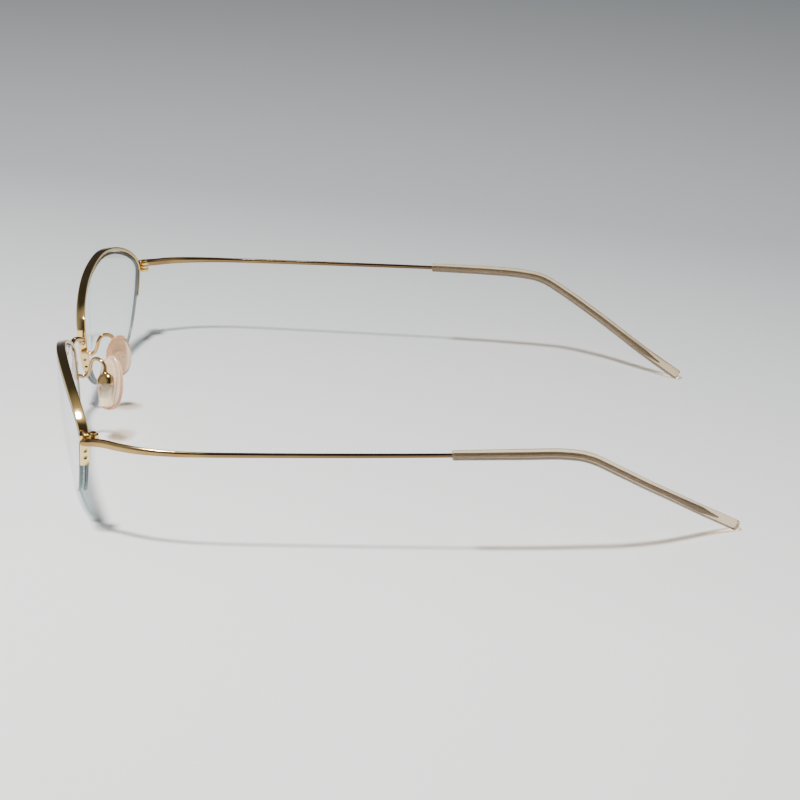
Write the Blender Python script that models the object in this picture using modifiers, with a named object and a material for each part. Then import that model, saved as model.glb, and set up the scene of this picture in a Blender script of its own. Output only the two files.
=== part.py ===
"""Half-rim wire eyeglasses: gold wire front, cord-held clear lenses, folding temples.

Millimetres are written as plain numbers and turned into metres by MM.
+X is the wearer's left, -Y is the front, +Z is up, and the lenses and tip ends
stand on Z = 0. The left half is modelled, and the right half shares its meshes
under an empty that mirrors it.
"""

import math

import bmesh
import bpy
from mathutils import Matrix, Vector

MM = 0.001

# Lens and rim
LENS_CENTRE = (34.0, -65.76, 13.2)  # on the front surface
LENS_WRAP = 8.5  # degrees that the outer side turns back
LENS_TILT = 7.5  # degrees that the front surface looks down
LENS_CURVE = 113.0  # radius of the front surface
LENS_THICK = 1.8
LENS_BLANK_RADIUS = 27.0
LENS_OUTLINE = (  # in the lens plane, from the nose over the top and back below
    (-24.2, 3.8), (-22.5, 6.6), (-17.9, 8.9), (-11.2, 11.1), (-3.1, 12.5), (5.0, 12.9),
    (13.4, 11.5), (20.6, 8.7), (24.5, 5.4), (24.3, 2.2), (22.0, -2.7), (17.5, -8.0),
    (11.0, -11.8), (2.5, -13.3), (-6.0, -13.3), (-13.0, -11.6), (-19.2, -7.8), (-23.2, -2.4),
)
EDGE_STEPS = 80  # points round the lens edge
GROOVE_RADIUS = 0.38
GROOVE_INSET = 0.12  # from the lens edge in to the groove's centre
THREAD_RADIUS = 0.22
THREAD_INSET = 0.2
HOLE_RADIUS = 0.32
RIM_GAP = 0.18  # from the lens edge out to the rim
RIM_THICK = 0.8
RIM_DEPTH = 1.9
RIM_ENDS = (-3.5, 193.0)  # degrees round the lens, from the temple side over the top
THREAD_HOLES = (3.8, 185.6)  # the pair of holes that the thread leaves by
SPARE_HOLES = (0.2, 190.0)

# Bridge and pads
BRIDGE_RADIUS = 0.58
BRIDGE_ANGLE = 175.5
BRIDGE_RUN = ((7.8, -65.7, 15.5), (6.6, -66.2, 16.6), (3.6, -67.1, 17.4), (0.0, -67.3, 17.6))
ARM_RADIUS = 0.4
ARM_ANGLE = 180.5
ARM_RUN = (
    (8.0, -65.0, 13.3), (7.75, -64.1, 13.1), (7.65, -63.25, 13.6), (7.6, -62.8, 14.8), (7.65, -62.5, 16.1),
    (7.95, -61.95, 17.0), (8.35, -61.2, 17.25), (8.95, -60.35, 17.05), (9.4, -59.8, 16.55),
)
PAD_CENTRE = (9.05, -58.3, 12.38)
PAD_FRONTAL = 25.0  # degrees that the pad's top leans to the nose
PAD_SPLAY = 30.0  # degrees that the pad's back edge turns out
PAD_LENGTH = 11.4
PAD_WIDTH = 5.6
PAD_THICK = 1.9
INSERT_LENGTH = 9.6
INSERT_WIDTH = 3.8
INSERT_THICK = 0.6
STEM_LOW = (-0.95, -0.8, 0.6)  # corners of the stem, in the pad's frame
STEM_HIGH = (0.8, 0.8, 2.2)
BLOCK_OUTLINE = ((-0.8, 1.65), (-4.7, 1.4), (-5.0, 1.1), (-5.0, -1.1), (-4.7, -1.4), (-0.8, -1.65))
BLOCK_LEVELS = (1.02, 1.95)
BOX_LEVELS = (1.42, 3.05)  # its mouth and its top, out from the pad's middle
BOX_RADIUS = 1.9
BOX_WALL = 0.35
BOX_CUT = -0.55  # the dome ends here, below the screw
ARM_END = ((3.05, 0.0, 2.4), (2.05, 0.0, 2.25))  # where the arm meets the box, in the pad's frame
PAD_SCREW = (0.0, 0.0, 1.85)
PAD_SCREW_RADIUS = 0.25

# Hinge and temple
HINGE_AXIS = (60.0, -57.0)
HINGE_LEVELS = (17.0, 17.75, 18.55, 19.3)  # edges of the three knuckles
KNUCKLE_RADIUS = 1.05
KNUCKLE_GAP = 0.05
HINGE_SCREW_RADIUS = 0.42
END_PIECE_RUN = ((60.4, -59.25, 18.55), (60.95, -59.05, 18.4), (61.05, -58.85, 18.35))
END_PIECE_ANGLE = 11.0
TEMPLE_RUN = (  # points along the wire, and its half height there
    ((62.05, -59.1, 18.1), 0.5), ((62.1, -58.3, 18.2), 0.74), ((62.3, -56.7, 18.35), 0.8),
    ((63.0, -54.6, 18.4), 0.8),
    ((64.4, -52.0, 18.4), 0.78), ((65.9, -47.8, 18.35), 0.7), ((66.8, -42.4, 18.35), 0.6),
    ((67.0, -36.9, 18.4), 0.52), ((66.6, -25.4, 18.6), 0.48), ((65.9, -11.4, 18.85), 0.46),
    ((65.0, 3.6, 19.15), 0.44), ((64.2, 13.6, 19.35), 0.42), ((63.1, 23.6, 19.5), 0.4),
    ((61.9, 31.1, 19.4), 0.38), ((61.0, 36.2, 18.5), 0.38), ((59.3, 41.8, 15.6), 0.38),
    ((56.9, 47.8, 12.1), 0.38), ((53.9, 53.5, 8.7), 0.4), ((50.9, 59.0, 5.35), 0.5), ((49.0, 62.9, 3.15), 0.46),
)
TEMPLE_SLIMNESS = 0.72  # the wire's width as a share of its height
TIP_START = 10.1  # where the sleeve begins, along Y
TIP_RUN_END = ((47.9, 65.3, 1.8), (47.15, 67.1, 0.8))
TIP_RADII = (0.95, 1.05, 1.12, 0.85)  # at the mouth, in the middle, near the end and at the end
TIP_ROUNDING = 0.35
TIP_BORE_GAP = 0.06


# ---------------------------------------------------------------- helpers

def clear_scene():
    for obj in list(bpy.data.objects):
        bpy.data.objects.remove(obj, do_unlink=True)


def make_collection(name):
    group = bpy.data.collections.new(name)
    bpy.context.scene.collection.children.link(group)
    return group


def make_material(name, colour, roughness, metallic=0.0, alpha=1.0):
    material = bpy.data.materials.new(name)
    material.use_nodes = True
    shader = material.node_tree.nodes["Principled BSDF"]
    shader.inputs["Base Color"].default_value = (*colour, 1.0)
    shader.inputs["Roughness"].default_value = roughness
    shader.inputs["Metallic"].default_value = metallic
    shader.inputs["Alpha"].default_value = alpha
    material.diffuse_color = (*colour, alpha)
    return material


def place(obj, material, group=None, parent=None, matrix=None):
    """Puts an object in its collection, under its parent, with its material."""
    (group or parts).objects.link(obj)
    obj.parent = parent
    if matrix is not None:
        obj.matrix_local = matrix
    if material is not None:
        obj.data.materials.clear()
        obj.data.materials.append(material)
    return obj


def metres(point):
    return Vector(point) * MM


def spline_through(points, count, closed=False):
    """Evenly spaced points on a smooth curve through the given vectors of any size."""
    points = [Vector(p) for p in points]
    total = len(points)
    spans = total if closed else total - 1

    def at(index):
        return points[index % total] if closed else points[min(max(index, 0), total - 1)]

    fine = []
    for span in range(spans):
        a, b, c, d = (at(span + shift) for shift in (-1, 0, 1, 2))
        for step in range(16):
            t = step / 16
            fine.append(
                0.5 * (2 * b + (c - a) * t + (2 * a - 5 * b + 4 * c - d) * t**2 + (3 * b - a - 3 * c + d) * t**3)
            )
    fine.append(points[0] if closed else points[-1])
    lengths = [0.0]
    for a, b in zip(fine, fine[1:]):
        lengths.append(lengths[-1] + (b - a).length)
    gaps = count if closed else count - 1
    result, index = [], 0
    for step in range(count):
        target = lengths[-1] * step / gaps
        while index < len(fine) - 2 and lengths[index + 1] < target:
            index += 1
        share = (target - lengths[index]) / (lengths[index + 1] - lengths[index])
        result.append(fine[index].lerp(fine[index + 1], share))
    return result


def curve_object(name, points, radius, radii=None, closed=False, sides=8, height=0.0):
    """A wire along points in metres; height adds a flat band along the curve's up axis."""
    curve = bpy.data.curves.new(name, "CURVE")
    curve.dimensions = "3D"
    curve.twist_mode = "Z_UP"
    curve.bevel_depth = radius * MM
    curve.bevel_resolution = (sides - 4) // 2
    curve.extrude = height * MM / 2
    curve.use_fill_caps = True
    spline = curve.splines.new("POLY")
    spline.points.add(len(points) - 1)
    for index, point in enumerate(points):
        spline.points[index].co = (*point, 1.0)
        spline.points[index].radius = radii[index] / radius if radii else 1.0
    spline.use_cyclic_u = closed
    return bpy.data.objects.new(name, curve)


def as_mesh(obj, triangles=False):
    """Replaces an object by its evaluated mesh, welded, in the same place."""
    bpy.context.view_layer.update()
    evaluated = obj.evaluated_get(bpy.context.evaluated_depsgraph_get())
    mesh = bpy.data.meshes.new_from_object(evaluated)
    weld = bmesh.new()
    weld.from_mesh(mesh)
    bmesh.ops.remove_doubles(weld, verts=weld.verts, dist=0.00001)
    bmesh.ops.recalc_face_normals(weld, faces=weld.faces)
    if triangles:
        bmesh.ops.triangulate(weld, faces=weld.faces)
    weld.to_mesh(mesh)
    weld.free()
    made = bpy.data.objects.new(obj.name, mesh)
    name, parent, matrix, groups = obj.name, obj.parent, obj.matrix_local.copy(), list(obj.users_collection)
    bpy.data.objects.remove(obj)
    made.name = name
    for group in groups:
        group.objects.link(made)
    made.parent = parent
    made.matrix_local = matrix
    made.hide_render = groups[0] is cutters
    return made


def cutter(obj, parent=None, matrix=None):
    place(obj, None, cutters, parent, matrix)
    obj.hide_render = True
    obj.display_type = "WIRE"
    return obj if obj.type == "MESH" else as_mesh(obj)


def combine(obj, operation, others):
    """Applies one Boolean after another, and keeps the result as a plain mesh."""
    for other in others:
        change = obj.modifiers.new(other.name, "BOOLEAN")
        change.operation = operation
        change.solver = "EXACT"
        change.object = other
    return as_mesh(obj)


def cylinder(name, radius, depth, sides=16, centre=(0, 0, 0), turn=None):
    mesh = bpy.data.meshes.new(name)
    form = bmesh.new()
    bmesh.ops.create_cone(
        form, cap_ends=True, segments=sides, radius1=radius * MM, radius2=radius * MM, depth=depth * MM
    )
    bmesh.ops.transform(form, matrix=turn or Matrix(), verts=form.verts)
    bmesh.ops.translate(form, vec=metres(centre), verts=form.verts)
    form.to_mesh(mesh)
    form.free()
    return bpy.data.objects.new(name, mesh)


def block(name, low, high):
    mesh = bpy.data.meshes.new(name)
    form = bmesh.new()
    bmesh.ops.create_cube(form, size=1.0)
    size = Vector(high) - Vector(low)
    bmesh.ops.scale(form, vec=size * MM, verts=form.verts)
    bmesh.ops.translate(form, vec=metres((Vector(high) + Vector(low)) / 2), verts=form.verts)
    form.to_mesh(mesh)
    form.free()
    return bpy.data.objects.new(name, mesh)


def turned(name, profile, steps):
    """A closed solid of revolution about local Z from (radius, height) points, top first."""
    mesh = bpy.data.meshes.new(name)
    points = [(radius * MM, 0.0, height * MM) for radius, height in profile]
    mesh.from_pydata(points, [(index, index + 1) for index in range(len(points) - 1)], [])
    obj = bpy.data.objects.new(name, mesh)
    screw = obj.modifiers.new("turn", "SCREW")
    screw.axis = "Z"
    screw.steps = screw.render_steps = steps
    screw.use_merge_vertices = True
    screw.merge_threshold = 0.000001
    return obj


def slab(name, outline, thick, rounding=0.0):
    """A flat plate from an outline in millimetres, centred on local Z = 0."""
    curve = bpy.data.curves.new(name, "CURVE")
    curve.dimensions = "2D"
    curve.fill_mode = "BOTH"
    curve.extrude = (thick / 2 - rounding) * MM
    curve.bevel_depth = rounding * MM
    curve.bevel_resolution = 1
    curve.offset = -rounding * MM
    spline = curve.splines.new("POLY")
    spline.points.add(len(outline) - 1)
    for index, (x, y) in enumerate(outline):
        spline.points[index].co = (x * MM, y * MM, 0.0, 1.0)
    spline.use_cyclic_u = True
    return bpy.data.objects.new(name, curve)


def smooth(obj):
    if obj.type == "MESH":
        obj.data.shade_smooth()
        obj.data.set_sharp_from_angle(angle=math.radians(35))
    return obj


# ---------------------------------------------------------------- lens frame

def lens_frame():
    """Local X runs to the temple, local Y up and local Z out of the front surface."""
    wrap, tilt = math.radians(LENS_WRAP), math.radians(LENS_TILT)
    front = Vector((math.sin(wrap) * math.cos(tilt), -math.cos(wrap) * math.cos(tilt), -math.sin(tilt)))
    side = Vector((0, 0, 1)).cross(front).normalized()
    turn = Matrix((side, front.cross(side), front)).transposed().to_4x4()
    return Matrix.Translation(metres(LENS_CENTRE)) @ turn


def surface_height(radius, below_front):
    """Height over the lens plane of a shell that lies below_front under the front surface."""
    return math.sqrt((LENS_CURVE - below_front) ** 2 - radius**2) - LENS_CURVE


def edge_ring():
    """The lens edge as flat points in the lens plane, clockwise seen from the front."""
    return spline_through(LENS_OUTLINE, EDGE_STEPS, closed=True)[:-1]


def edge_line(outset):
    """The ring moved outset mm away from the lens, at the middle of its thickness, in metres."""
    ring = edge_ring()
    line = []
    for index, here in enumerate(ring):
        along = (ring[(index + 1) % len(ring)] - ring[index - 1]).normalized()
        flat = here + Vector((-along.y, along.x)) * outset
        line.append(metres((flat.x, flat.y, surface_height(flat.length, LENS_THICK / 2))))
    return line


def edge_run(start, end, outset):
    """The part of edge_line between two angles, anticlockwise from the temple side."""
    line = edge_line(outset)
    ring = edge_ring()
    angles = [math.degrees(math.atan2(point.y, point.x)) % 360 for point in ring]
    span = (end - start) % 360
    inside = [i for i in range(len(line)) if 0 < (angles[i] - start) % 360 < span]
    inside.sort(key=lambda i: (angles[i] - start) % 360)
    return [edge_at(start, outset), *(line[i] for i in inside), edge_at(end, outset)]


def edge_at(angle, outset):
    """The point of edge_line at one angle."""
    line = edge_line(outset)
    angles = [math.degrees(math.atan2(point.y, point.x)) for point in edge_ring()]
    ahead = [(turn - angle) % 360 for turn in angles]
    after = min(range(len(line)), key=lambda i: ahead[i])
    before = (after + 1) % len(line)  # the ring runs clockwise
    gap = (ahead[after] - ahead[before]) % 360
    return line[after].lerp(line[before], ahead[after] / gap)


def edge_stub(angle, gap, forward=0.0):
    """Two points off the rim's outer side, gap mm away and a little further, in the object's frame."""
    near = edge_at(angle, RIM_GAP + RIM_THICK + gap) + metres((0, 0, forward))
    far = edge_at(angle, RIM_GAP + RIM_THICK + gap + 0.45)
    far.z = near.z
    return [lens_frame() @ near, lens_frame() @ far]


# ---------------------------------------------------------------- the front

def build_lens(seat):
    rings = 3
    top = [(LENS_BLANK_RADIUS * step / rings, 0.0) for step in range(rings + 1)]
    front = [(radius, surface_height(radius, 0.0)) for radius, _ in top]
    back = [(radius, surface_height(radius, LENS_THICK)) for radius, _ in reversed(top)]
    lens = place(turned("lens_left", front + back, 36), lens_clear, parent=seat)
    edge = cutter(slab("lens_outline", edge_ring(), 12.0), seat)
    groove = curve_object("lens_groove", edge_line(-GROOVE_INSET), GROOVE_RADIUS, closed=True, sides=6)
    groove = cutter(groove, seat)
    floor = cutter(block("lens_foot", (0, -80, -4), (60, -50, 0.0)))
    lens = combine(lens, "INTERSECT", [edge])
    return smooth(combine(lens, "DIFFERENCE", [groove, floor]))


def build_rim(seat):
    line = edge_run(*RIM_ENDS, RIM_GAP + RIM_THICK / 2)
    band = curve_object("half_rim_left", line, RIM_THICK / 2, sides=6, height=RIM_DEPTH - RIM_THICK)
    rim = as_mesh(place(band, gold, parent=seat), triangles=True)
    holes = []
    for angle in THREAD_HOLES + SPARE_HOLES:
        centre = edge_at(angle, RIM_GAP + RIM_THICK / 2)
        turn = (centre - edge_at(angle, 0.0)).to_track_quat("Z", "Y").to_matrix().to_4x4()
        hole = cylinder("thread_hole", HOLE_RADIUS, 3.0, 10, turn=turn)
        holes.append(cutter(hole, seat, Matrix.Translation(centre)))
    return smooth(combine(rim, "DIFFERENCE", holes))


def build_threads(seat):
    """The liner under the rim, and the cord that holds the lens from below."""
    low, high = THREAD_HOLES
    liner = edge_run(low + 3.0, high - 2.0, -THREAD_INSET)
    place(curve_object("rim_liner_left", liner, THREAD_RADIUS, sides=6), nylon, parent=seat)
    cord = edge_run(high + 3.0, low - 3.0, -THREAD_INSET)
    ends = [[edge_at(angle, outset) for outset in (0.75, 0.25, -0.14)] for angle in (high, low)]
    line = [*ends[0], *cord, *reversed(ends[1])]
    place(curve_object("lens_cord_left", line, THREAD_RADIUS, sides=6), nylon, parent=seat)


def build_bridge():
    half = [*edge_stub(BRIDGE_ANGLE, 0.25), *(metres(point) for point in BRIDGE_RUN)]
    whole = half + [Vector((-p.x, p.y, p.z)) for p in reversed(half[:-1])]
    place(curve_object("bridge", spline_through(whole, 31), BRIDGE_RADIUS, sides=8), gold)


def build_pad_arm():
    run = [metres(point) for point in ARM_RUN]
    end = [pad_frame() @ metres(point) for point in ARM_END]
    line = spline_through([*edge_stub(ARM_ANGLE, 0.1), *run, *end], 34)
    place(curve_object("pad_arm_left", line, ARM_RADIUS, sides=8), gold)


# ---------------------------------------------------------------- nose pads

def pad_frame():
    """Local X runs up the pad, local Y to its front edge and local Z away from the nose."""
    frontal, splay = math.radians(PAD_FRONTAL), math.radians(PAD_SPLAY)
    along = Vector((-math.sin(frontal), 0, math.cos(frontal)))
    out = Vector((math.cos(frontal), 0, math.sin(frontal)))
    back = Vector((0, 1, 0))
    back, out = back * math.cos(splay) + out * math.sin(splay), out * math.cos(splay) - back * math.sin(splay)
    return Matrix.Translation(metres(PAD_CENTRE)) @ Matrix((along, out.cross(along), out)).transposed().to_4x4()


def egg(length, width, count=20):
    """A rounded outline, a little narrower at the top."""
    outline = []
    for step in range(count):
        angle = 2 * math.pi * step / count
        wide = width / 2 * (1 - 0.12 * math.cos(angle))
        squareness = 0.85
        x = math.copysign(abs(math.cos(angle)) ** squareness, math.cos(angle)) * length / 2
        y = math.copysign(abs(math.sin(angle)) ** squareness, math.sin(angle)) * wide
        outline.append((x, y))
    return outline


def build_pad():
    seat = bpy.data.objects.new("pad_seat_left", None)
    place_matrix = pad_frame()
    parts.objects.link(seat)
    seat.matrix_local = place_matrix
    pad = as_mesh(place(slab("nose_pad_left", egg(PAD_LENGTH, PAD_WIDTH), PAD_THICK, 0.6), silicone, parent=seat))
    recess_low = PAD_THICK / 2 - INSERT_THICK + 0.05
    recess = slab("insert_recess", egg(INSERT_LENGTH + 0.2, INSERT_WIDTH + 0.2), 2.0)
    recess = cutter(recess, seat, Matrix.Translation(metres((0, 0, recess_low + 1.0))))
    smooth(combine(pad, "DIFFERENCE", [recess]))

    middle = Matrix.Translation(metres((0, 0, recess_low + 0.1 + INSERT_THICK / 2)))
    plate = slab("pad_insert_left", egg(INSERT_LENGTH, INSERT_WIDTH), INSERT_THICK)
    plate = as_mesh(place(plate, clear_plastic, parent=seat, matrix=middle))
    stem = cutter(block("pad_stem", STEM_LOW, STEM_HIGH), seat)
    low, high = BLOCK_LEVELS
    foot = slab("pad_block", BLOCK_OUTLINE, high - low)
    foot = cutter(foot, seat, Matrix.Translation(metres((0, 0, (low + high) / 2))))
    hollow = cutter(block("block_hollow", (-4.5, -0.95, high - 0.2), (-1.5, 0.95, 3.0)), seat)
    side_turn = Matrix.Rotation(math.pi / 2, 4, "X")
    bore = cutter(cylinder("pad_screw_bore", PAD_SCREW_RADIUS + 0.05, 8.0, 10, PAD_SCREW, side_turn), seat)
    plate = combine(plate, "UNION", [foot, stem])
    smooth(combine(plate, "DIFFERENCE", [hollow, bore]))

    low, high = BOX_LEVELS
    inside = BOX_RADIUS - BOX_WALL
    profile = (
        (0.0, high), (BOX_RADIUS * 0.5, high - 0.1), (BOX_RADIUS * 0.86, high - 0.4), (BOX_RADIUS, high - 0.85),
        (BOX_RADIUS, low), (inside, low), (inside, high - BOX_WALL - 0.3), (0.0, high - BOX_WALL),
    )
    box = as_mesh(place(turned("pad_box_left", profile, 24), gold, parent=seat))
    below = cutter(block("box_cut", (-6, -6, 0), (BOX_CUT, 6, 6)), seat)
    smooth(combine(box, "DIFFERENCE", [below, bore]))

    length = 2 * BOX_RADIUS - 0.2
    shank = cylinder("pad_screw_left", PAD_SCREW_RADIUS, length, 10, PAD_SCREW, side_turn)
    smooth(place(shank, steel, parent=seat))


# ---------------------------------------------------------------- hinge and temple

def build_end_piece():
    run = [metres(point) for point in END_PIECE_RUN]
    line = spline_through([*edge_stub(END_PIECE_ANGLE, 0.15, 0.5), *run], 12)
    bar = curve_object("end_piece_left", line, 0.38, sides=6, height=0.8)
    place(bar, gold)


def knuckle(name, low, high):
    centre = (*HINGE_AXIS, (low + high) / 2)
    return cylinder(name, KNUCKLE_RADIUS, high - low, 20, centre)


def build_hinge():
    x, y = HINGE_AXIS
    bottom, lower, upper, top = HINGE_LEVELS
    bore = cutter(cylinder("hinge_bore", HINGE_SCREW_RADIUS + 0.05, 6.0, 12, (x, y, (bottom + top) / 2)))

    spine = place(block("hinge_front_left", (x - 0.7, y - 1.65, bottom), (x + 0.7, y - 1.15, top)), gold)
    pieces = []
    for name, low, high in (("lower_ear", bottom, lower), ("upper_ear", upper, top)):
        pieces.append(cutter(knuckle(name, low, high)))
        pieces.append(cutter(block(name + "_arm", (x - 0.6, y - 1.3, low), (x + 0.6, y, high))))
    smooth(combine(combine(spine, "UNION", pieces), "DIFFERENCE", [bore]))

    low, high = lower + KNUCKLE_GAP, upper - KNUCKLE_GAP
    middle = place(knuckle("hinge_temple_left", low, high), gold)
    leaf = cutter(block("temple_leaf", (x, y - 0.2, low), (x + 1.45, y + 0.9, high)))
    smooth(combine(combine(middle, "UNION", [leaf]), "DIFFERENCE", [bore]))

    head = ((0.0, top + 0.35), (0.5, top + 0.35), (0.68, top + 0.2), (0.68, top + KNUCKLE_GAP))
    shank = ((HINGE_SCREW_RADIUS, top + KNUCKLE_GAP), (HINGE_SCREW_RADIUS, bottom - 0.1), (0.0, bottom - 0.1))
    screw = turned("hinge_screw_left", head + shank, 14)
    smooth(as_mesh(place(screw, gold, matrix=Matrix.Translation(metres((x, y, 0))))))


def temple_line(count):
    """Points along the temple wire in metres, and the half height in mm at each."""
    run = [Vector((*(value * MM for value in point), half)) for point, half in TEMPLE_RUN]
    line = spline_through([p.to_3d() for p in run], count)
    halves = []
    for point in line:
        near = min(range(len(run) - 1), key=lambda i: abs(point.y - (run[i].y + run[i + 1].y) / 2))
        a, b = run[near], run[near + 1]
        share = min(max((point.y - a.y) / (b.y - a.y), 0.0), 1.0)
        halves.append(a.w + (b.w - a.w) * share)
    return line, halves


def oval_profile(name, half_width, half_height, count=8):
    ring = []
    for step in range(count):
        angle = 2 * math.pi * (step + 0.5) / count
        ring.append((half_width * math.cos(angle), half_height * math.sin(angle)))
    profile = slab(name, ring, 0.0)
    profile.data.fill_mode = "NONE"
    cutters.objects.link(profile)
    profile.hide_render = True
    return profile


def oval_wire(name, line, halves, slimness):
    """A wire whose section is an upright oval, with the half height given at each point."""
    wire = curve_object(name, line, 1.0, halves)
    wire.data.bevel_mode = "OBJECT"
    wire.data.bevel_object = oval_profile(name + "_section", slimness, 1.0)
    return wire


def build_temple():
    line, halves = temple_line(76)
    smooth(as_mesh(place(oval_wire("temple_left", line, halves, TEMPLE_SLIMNESS), gold)))

    start = next(index for index, point in enumerate(line) if point.y > TIP_START * MM)
    path = [p for p in line[start:] if p.y < TEMPLE_RUN[-1][0][1] * MM] + [metres(p) for p in TIP_RUN_END]
    path = spline_through(path, 33)
    mouth, middle, wide, end = TIP_RADII
    radii = []
    for index in range(len(path)):
        share = index / (len(path) - 1)
        radii.append(mouth + (middle - mouth) * min(share / 0.2, 1.0) + (wide - middle) * max(share - 0.7, 0.0) / 0.3)
    path.append(path[-1] + (path[-1] - path[-2]).normalized() * TIP_ROUNDING * MM)
    radii.append(end)
    sleeve = as_mesh(place(curve_object("temple_tip_left", path, 1.0, radii, sides=10), acetate))
    ahead = [line[start] - (line[start + 1] - line[start]) * 2, *line[start:]]
    grown = [halves[start] + TIP_BORE_GAP] + [half + TIP_BORE_GAP for half in halves[start:]]
    beyond = ahead[-1] + (ahead[-1] - ahead[-2]).normalized() * 0.1 * MM
    bore = oval_wire("tip_bore", ahead[:-1] + [beyond], grown, TEMPLE_SLIMNESS + 0.08)
    floor = block("tip_foot", (40, 55, -4), (60, 75, 0.0))
    smooth(combine(sleeve, "DIFFERENCE", [cutter(bore), cutter(floor)]))


# ---------------------------------------------------------------- the whole object

def mirror_right():
    """The right half shares the left half's meshes under an empty that mirrors them."""
    mirror = bpy.data.objects.new("mirror_right", None)
    parts.objects.link(mirror)
    mirror.scale.x = -1.0
    bpy.context.view_layer.update()
    for obj in [obj for obj in parts.objects if obj.name.endswith("_left") and obj.type != "EMPTY"]:
        right = bpy.data.objects.new(obj.name.replace("_left", "_right"), obj.data)
        parts.objects.link(right)
        right.parent = mirror
        right.matrix_local = obj.matrix_world


clear_scene()
parts = make_collection("half_rim_eyeglasses")
cutters = make_collection("cutters")
gold = make_material("polished_gold", (0.86, 0.62, 0.27), 0.18, metallic=1.0)
steel = make_material("bright_steel", (0.72, 0.70, 0.66), 0.25, metallic=1.0)
lens_clear = make_material("demo_lens", (0.80, 0.90, 0.91), 0.03, alpha=0.3)
nylon = make_material("nylon_thread", (0.70, 0.76, 0.76), 0.35, alpha=0.6)
silicone = make_material("pad_silicone", (0.86, 0.56, 0.43), 0.35, alpha=0.75)
clear_plastic = make_material("pad_insert_plastic", (0.84, 0.80, 0.70), 0.3, alpha=0.8)
acetate = make_material("tip_acetate", (0.66, 0.50, 0.34), 0.15, alpha=0.8)

lens_seat = bpy.data.objects.new("lens_seat_left", None)
parts.objects.link(lens_seat)
lens_seat.matrix_local = lens_frame()

build_lens(lens_seat)
build_rim(lens_seat)
build_threads(lens_seat)
build_bridge()
build_pad_arm()
build_pad()
build_end_piece()
build_hinge()
build_temple()
mirror_right()
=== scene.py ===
import math

import bmesh
import bpy
from mathutils import Matrix, Vector


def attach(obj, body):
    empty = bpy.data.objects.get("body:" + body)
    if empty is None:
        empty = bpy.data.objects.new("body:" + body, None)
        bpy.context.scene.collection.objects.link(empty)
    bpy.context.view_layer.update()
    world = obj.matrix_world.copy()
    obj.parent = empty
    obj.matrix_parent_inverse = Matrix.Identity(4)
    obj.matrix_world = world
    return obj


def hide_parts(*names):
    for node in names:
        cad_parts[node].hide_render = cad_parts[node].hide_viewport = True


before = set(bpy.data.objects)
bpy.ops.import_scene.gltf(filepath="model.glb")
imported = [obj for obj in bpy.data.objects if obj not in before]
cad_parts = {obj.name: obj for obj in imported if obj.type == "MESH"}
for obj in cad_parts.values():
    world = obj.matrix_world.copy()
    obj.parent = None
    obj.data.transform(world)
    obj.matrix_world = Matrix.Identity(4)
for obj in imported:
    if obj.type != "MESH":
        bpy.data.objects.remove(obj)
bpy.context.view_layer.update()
mm = 0.001  # lengths below are in millimetres
weldDistance = 1e-7  # metres
skinSharp, cutSharp = 38, 35  # degrees, where an edge starts to look sharp
roundTurns = (78, 55, 28)  # degrees, the steps of a sweep's rounded end
print("frame loaded:", len(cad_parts), "CAD nodes")


def link(name, data):
    obj = bpy.data.objects.new(name, data)
    bpy.context.scene.collection.objects.link(obj)
    return obj


def smooth(mesh, degrees):
    mesh.shade_smooth()
    mesh.set_sharp_from_angle(angle=math.radians(degrees))


def splinePoints(points, count, closed=False):  # even steps along a smooth curve
    points = [Vector(p) for p in points]
    total = len(points)

    def at(index):
        return points[index % total] if closed else points[min(max(index, 0), total - 1)]

    fine = []
    for span in range(total if closed else total - 1):
        a, b, c, d = (at(span + shift) for shift in (-1, 0, 1, 2))
        for step in range(24):
            t = step / 24
            fine.append(0.5 * (2 * b + (c - a) * t + (2 * a - 5 * b + 4 * c - d) * t**2
                               + (3 * b - a - 3 * c + d) * t**3))
    fine.append(points[0] if closed else points[-1])
    lengths = [0.0]
    for a, b in zip(fine, fine[1:]):
        lengths.append(lengths[-1] + (b - a).length)
    result, index = [], 0
    for step in range(count):
        target = lengths[-1] * step / (count if closed else count - 1)
        while index < len(fine) - 2 and lengths[index + 1] < target:
            index += 1
        share = (target - lengths[index]) / (lengths[index + 1] - lengths[index])
        result.append(fine[index].lerp(fine[index + 1], share))
    return result


def ovalRing(halfWide, halfHigh, count=20, power=1.0):  # power under 1 squares the oval off
    ring = []
    for step in range(count):
        angle = 2 * math.pi * step / count
        c, s = math.cos(angle), math.sin(angle)
        ring.append((math.copysign(abs(c) ** power, c) * halfWide,
                     math.copysign(abs(s) ** power, s) * halfHigh))
    return ring


def roundedRing(halfWide, halfHigh, radius, steps=4):
    ring = []
    for turn, (x, y) in enumerate(((1, 1), (-1, 1), (-1, -1), (1, -1))):
        for step in range(steps + 1):
            angle = math.pi / 2 * (turn + step / steps)
            ring.append((x * (halfWide - radius) + radius * math.cos(angle),
                         y * (halfHigh - radius) + radius * math.sin(angle)))
    return ring


def skin(name, rows, startPoint=None, endPoint=None):  # a closed mesh through rows of equal length
    count = len(rows[0])
    points = [Vector(p) * mm for row in rows for p in row]
    faces = []
    for r in range(len(rows) - 1):
        a, b = r * count, (r + 1) * count
        for k in range(count):
            n = (k + 1) % count
            faces.append((a + k, a + n, b + n, b + k))
    points.append(Vector(startPoint) * mm if startPoint else sum(points[:count], Vector()) / count)
    points.append(Vector(endPoint) * mm if endPoint else sum(points[-1 - count:-1], Vector()) / count)
    base = (len(rows) - 1) * count
    faces += [(len(points) - 2, (k + 1) % count, k) for k in range(count)]
    faces += [(len(points) - 1, base + k, base + (k + 1) % count) for k in range(count)]
    mesh = bpy.data.meshes.new(name)
    mesh.from_pydata([tuple(p) for p in points], [], faces)
    return finishMesh(name, mesh)


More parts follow.
